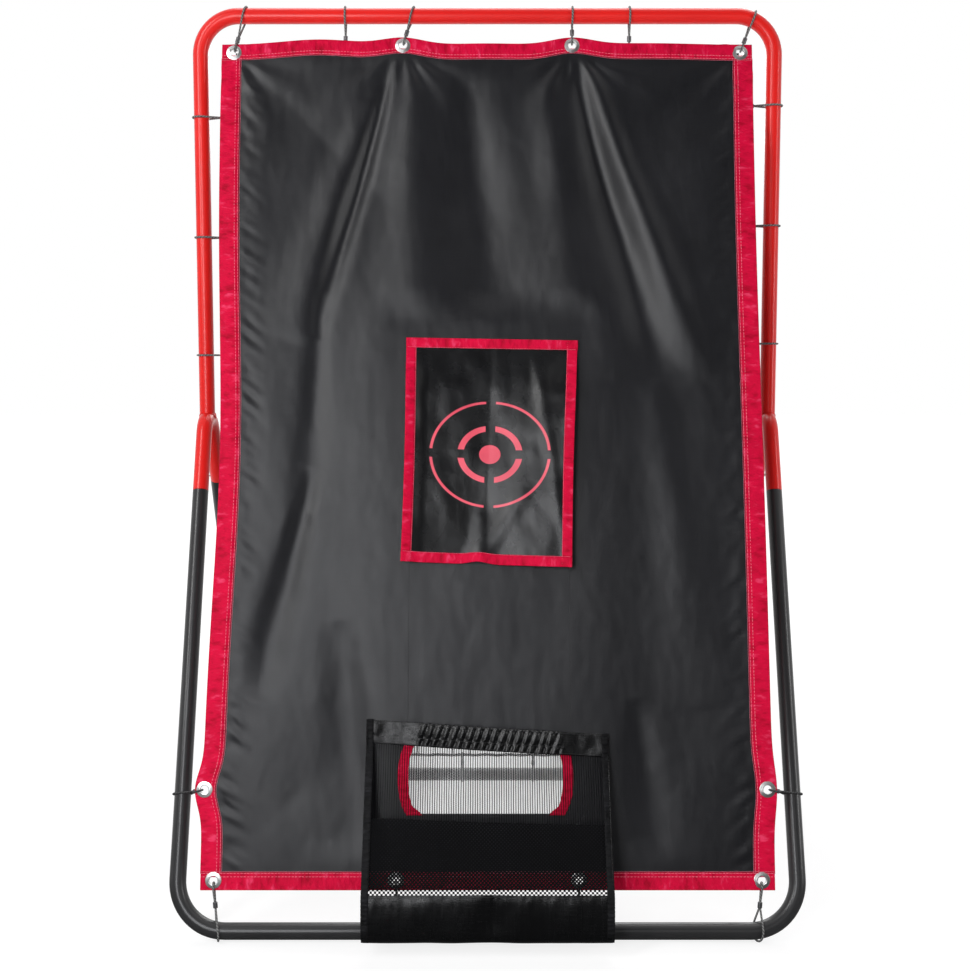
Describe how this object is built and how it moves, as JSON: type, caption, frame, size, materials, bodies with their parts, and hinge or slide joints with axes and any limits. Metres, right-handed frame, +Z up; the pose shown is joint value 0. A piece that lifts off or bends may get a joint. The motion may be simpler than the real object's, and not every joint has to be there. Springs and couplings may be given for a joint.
{
  "type": "golf chipping net",
  "caption": "Free-standing golf chipping net: tubular A-frame, black sheet with bullseye flap, ball chute, window and ball pocket, and a rebound net behind.",
  "frame": {"origin": "middle of the footprint, on the floor", "axes": "+Z up, the player stands on the -Y side and looks along +Y, +X to the player's right"},
  "size_m": [1.231, 0.9576, 1.8109],
  "materials": {
    "black_paint": "gloss powder coat",
    "red_paint": "gloss powder coat",
    "button_steel": "satin",
    "grommet_metal": "satin nickel",
    "black_cloth": "coated woven cloth, slight sheen",
    "red_cloth": "woven binding tape",
    "pale_mesh": "knitted mesh",
    "black_mesh": "knitted mesh",
    "net_cord": "twisted cord",
    "tie_cord": "braided cord"
  },
  "bodies": {
    "net_frame": {"front_legs": "black_paint", "rear_legs": "black_paint", "upper_frame": "red_paint", "left_bracket": "red_paint", "right_bracket": "red_paint", "net_sheet": "black_cloth", "top_hem": "red_cloth", "bottom_hem": "red_cloth", "left_hem": "red_cloth", "right_hem": "red_cloth", "grommet_top_1": "grommet_metal", "grommet_top_2": "grommet_metal", "grommet_top_3": "grommet_metal", "grommet_top_4": "grommet_metal", "grommet_left": "grommet_metal", "grommet_right": "grommet_metal", "grommet_bottom_1": "grommet_metal", "grommet_bottom_2": "grommet_metal", "grommet_bottom_3": "grommet_metal", "grommet_bottom_4": "grommet_metal", "return_chute": "pale_mesh", "window_tape_left": "red_cloth", "window_tape_right": "red_cloth", "pocket_band": "black_cloth", "pocket_mesh": "black_mesh", "pocket_base": "black_cloth", "pocket_side_left": "black_cloth", "pocket_side_right": "black_cloth", "rebound_net_upper": "net_cord", "rebound_net_lower": "net_cord", "sheet_tie_top_1": "tie_cord", "sheet_tie_top_2": "tie_cord", "sheet_tie_top_3": "tie_cord", "sheet_tie_top_4": "tie_cord", "sheet_tie_left": "tie_cord", "sheet_tie_right": "tie_cord", "sheet_tie_foot_1": "tie_cord", "sheet_tie_foot_2": "tie_cord", "sheet_tie_foot_3": "tie_cord", "sheet_tie_foot_4": "tie_cord", "net_tie_foot_1": "tie_cord", "net_tie_foot_2": "tie_cord", "net_tie_foot_3": "tie_cord", "net_tie_foot_4": "tie_cord", "net_tie_top_1": "tie_cord", "net_tie_top_2": "tie_cord", "net_tie_left_1": "tie_cord", "net_tie_left_2": "tie_cord", "net_tie_left_3": "tie_cord", "net_tie_right_1": "tie_cord", "net_tie_right_2": "tie_cord", "net_tie_right_3": "tie_cord"},
    "flap": {"target_flap": "black_cloth", "flap_binding": "red_cloth"},
    "left_front_legs_button_body": {"left_front_legs_button": "button_steel"},
    "right_front_legs_button_body": {"right_front_legs_button": "button_steel"},
    "left_rear_legs_button_body": {"left_rear_legs_button": "button_steel"},
    "right_rear_legs_button_body": {"right_rear_legs_button": "button_steel"},
    "left_upper_frame_button_body": {"left_upper_frame_button": "button_steel"},
    "right_upper_frame_button_body": {"right_upper_frame_button": "button_steel"}
  },
  "joints": [
    {"name": "flap_hinge", "type": "hinge", "parent": "net_frame", "child": "flap", "pos_m": [0.00308, -0.11664, 1.12835], "axis": [-1, 0, 0], "range_deg": [0, 75]},
    {"name": "left_front_legs_button_press", "type": "slide", "parent": "net_frame", "child": "left_front_legs_button_body", "axis": [0, -0.9204, 0.391], "range_m": [0, 0.0048], "stiffness_N_per_m": 1500, "springref_m": -0.002},
    {"name": "right_front_legs_button_press", "type": "slide", "parent": "net_frame", "child": "right_front_legs_button_body", "axis": [0, -0.9204, 0.391], "range_m": [0, 0.0048], "stiffness_N_per_m": 1500, "springref_m": -0.002},
    {"name": "left_rear_legs_button_press", "type": "slide", "parent": "net_frame", "child": "left_rear_legs_button_body", "axis": [1, 0, 0], "range_m": [0, 0.0048], "stiffness_N_per_m": 1500, "springref_m": -0.002},
    {"name": "right_rear_legs_button_press", "type": "slide", "parent": "net_frame", "child": "right_rear_legs_button_body", "axis": [-1, 0, 0], "range_m": [0, 0.0048], "stiffness_N_per_m": 1500, "springref_m": -0.002},
    {"name": "left_upper_frame_button_press", "type": "slide", "parent": "net_frame", "child": "left_upper_frame_button_body", "axis": [0, -0.9991, 0.0421], "range_m": [0, 0.0048], "stiffness_N_per_m": 1500, "springref_m": -0.002},
    {"name": "right_upper_frame_button_press", "type": "slide", "parent": "net_frame", "child": "right_upper_frame_button_body", "axis": [0, -0.9991, 0.0421], "range_m": [0, 0.0048], "stiffness_N_per_m": 1500, "springref_m": -0.002}
  ]
}
